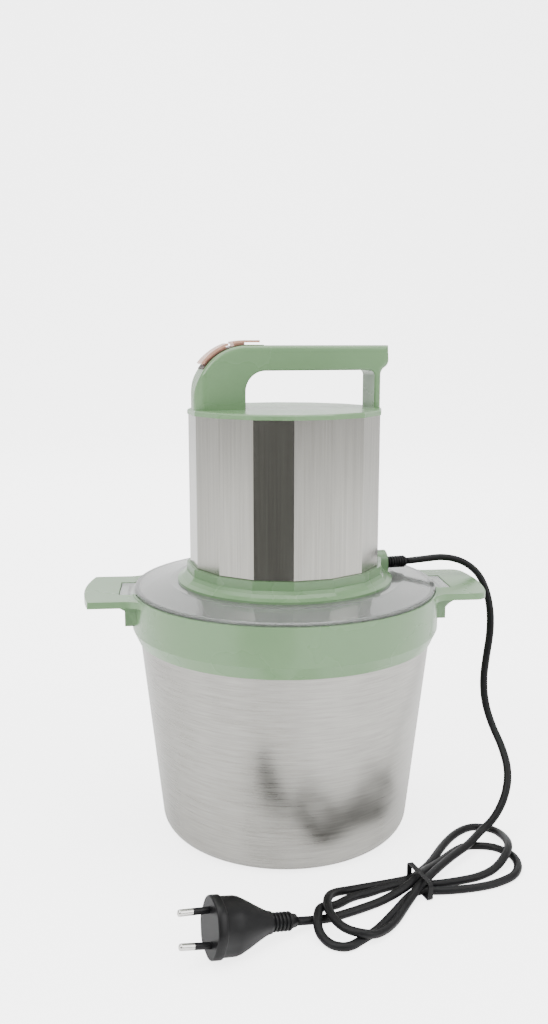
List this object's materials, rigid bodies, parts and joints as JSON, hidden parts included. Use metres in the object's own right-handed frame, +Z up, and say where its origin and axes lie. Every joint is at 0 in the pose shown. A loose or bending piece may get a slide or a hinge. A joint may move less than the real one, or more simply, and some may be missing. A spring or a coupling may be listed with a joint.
{
  "type": "electric meat grinder",
  "caption": "Tall facetted motor head with a carrying handle on a tapered steel bowl, with a clear lid, moulded collar with grips, blades and a folded mains lead.",
  "frame": {"origin": "centre of the bowl's underside", "axes": "+Z up through the drive; +X along the bowl's two handles; the motor head stands turned 10.3 degrees about +Z"},
  "size_m": [0.3006, 0.2929, 0.3474],
  "materials": {
    "bowl_steel": "brushed stainless",
    "sleeve_steel": "vertically brushed stainless",
    "blade_steel": "ground stainless",
    "green_plastic": "glossy sage green",
    "clear_lid": "clear moulded plastic",
    "silicone": "translucent silicone",
    "cream_trim": "cream",
    "rose_buttons": "rose gold satin",
    "spring_steel": "bright wire",
    "dark_plastic": "black",
    "white_plastic": "white",
    "hub_plastic": "off-white",
    "bronze": "sintered bronze",
    "cast_aluminium": "as cast",
    "gear_nylon": "natural nylon",
    "machined_steel": "machined",
    "black_rubber": "matte",
    "lamination_steel": "stacked sheet edges",
    "copper_winding": "varnished copper",
    "commutator_copper": "turned copper",
    "fan_plastic": "black",
    "carbon": "graphite",
    "wire_insulation": "pvc",
    "black_flex": "satin pvc",
    "plug_plastic": "satin",
    "pin_chrome": "nickel plated"
  },
  "bodies": {
    "bowl": {"bowl": "bowl_steel", "bowl_spindle": "bowl_steel", "bowl_collar": "green_plastic"},
    "lid": {"lid": "clear_lid", "lid_gasket": "silicone"},
    "blades": {"blade_shaft": "hub_plastic", "blade_bush": "bronze", "lower_blade": "blade_steel", "upper_blade": "blade_steel", "blade_spacer": "white_plastic", "blade_lock_ring": "hub_plastic"},
    "low_button": {"low_speed_button": "rose_buttons"},
    "high_button": {"high_speed_button": "rose_buttons"},
    "armature": {"motor_shaft": "machined_steel", "armature_core": "lamination_steel", "armature_windings": "copper_winding", "commutator": "commutator_copper", "cooling_fan": "fan_plastic", "sun_gear": "machined_steel"},
    "carrier": {"planet_carrier": "machined_steel", "planet_pins": "machined_steel"},
    "planet_1": {"planet_gear_1": "gear_nylon"},
    "planet_2": {"planet_gear_2": "gear_nylon"},
    "planet_3": {"planet_gear_3": "gear_nylon"},
    "head": {"base_housing": "green_plastic", "brush_holders": "dark_plastic", "carbon_brushes": "carbon", "cord_hank": "black_flex", "cord_lead": "black_flex", "cord_tail": "black_flex", "cord_tie": "black_flex", "field_coils": "copper_winding", "gearbox_cover": "cast_aluminium", "gearbox_housing": "cast_aluminium", "gearbox_screws": "machined_steel", "handle_cover": "green_plastic", "high_button_spring": "spring_steel", "high_speed_switch": "dark_plastic", "low_button_spring": "spring_steel", "low_speed_switch": "dark_plastic", "lower_bearing": "machined_steel", "lower_bracket": "cast_aluminium", "output_bearing": "machined_steel", "output_seal": "black_rubber", "plug_body": "plug_plastic", "plug_pin_sleeves": "black_flex", "plug_pins": "pin_chrome", "ring_gear": "gear_nylon", "stator_core": "lamination_steel", "steel_sleeve": "sleeve_steel", "strain_relief": "black_flex", "switch_bezel": "cream_trim", "switch_bracket": "white_plastic", "through_bolts": "machined_steel", "tie_screws": "machined_steel", "top_cap": "green_plastic", "upper_bearing": "machined_steel", "upper_bracket": "cast_aluminium", "wiring": "wire_insulation"}
  },
  "joints": [
    {"name": "lid_lift", "type": "slide", "parent": "bowl", "child": "lid", "axis": [0, 0, 1], "range_m": [0, 0.25]},
    {"name": "head_lift", "type": "slide", "parent": "lid", "child": "head", "axis": [0, 0, 1], "range_m": [0, 0.3]},
    {"name": "armature_spin", "type": "hinge", "parent": "head", "child": "armature", "pos_m": [0, 0, 0.2], "axis": [0, 0, 1], "continuous": true},
    {"name": "carrier_spin", "type": "hinge", "parent": "head", "child": "carrier", "pos_m": [0, 0, 0.17], "axis": [0, 0, 1], "continuous": true},
    {"name": "blade_spin", "type": "hinge", "parent": "bowl", "child": "blades", "pos_m": [0, 0, 0.03], "axis": [0, 0, 1], "continuous": true},
    {"name": "planet_1_spin", "type": "hinge", "parent": "carrier", "child": "planet_1", "pos_m": [0.01476, 0.00268, 0.1785], "axis": [0, 0, 1], "continuous": true},
    {"name": "planet_2_spin", "type": "hinge", "parent": "carrier", "child": "planet_2", "pos_m": [-0.0097, 0.01144, 0.1785], "axis": [0, 0, 1], "continuous": true},
    {"name": "planet_3_spin", "type": "hinge", "parent": "carrier", "child": "planet_3", "pos_m": [-0.00506, -0.01412, 0.1785], "axis": [0, 0, 1], "continuous": true},
    {"name": "low_button_press", "type": "slide", "parent": "head", "child": "low_button", "axis": [0.5713, 0.1038, -0.8141], "range_m": [0, 0.0013], "stiffness_N_per_m": 600, "springref_m": -0.0015, "deforming": ["low_button_spring"]},
    {"name": "high_button_press", "type": "slide", "parent": "head", "child": "high_button", "axis": [0, 0, -1], "range_m": [0, 0.0013], "stiffness_N_per_m": 600, "springref_m": -0.0015, "deforming": ["high_button_spring"]}
  ],
  "couplings": [
    {"joint": "carrier_spin", "follows": "armature_spin", "ratio": 0.2},
    {"joint": "blade_spin", "follows": "armature_spin", "ratio": 0.2},
    {"joint": "planet_1_spin", "follows": "armature_spin", "ratio": -0.53333},
    {"joint": "planet_2_spin", "follows": "armature_spin", "ratio": -0.53333},
    {"joint": "planet_3_spin", "follows": "armature_spin", "ratio": -0.53333}
  ]
}
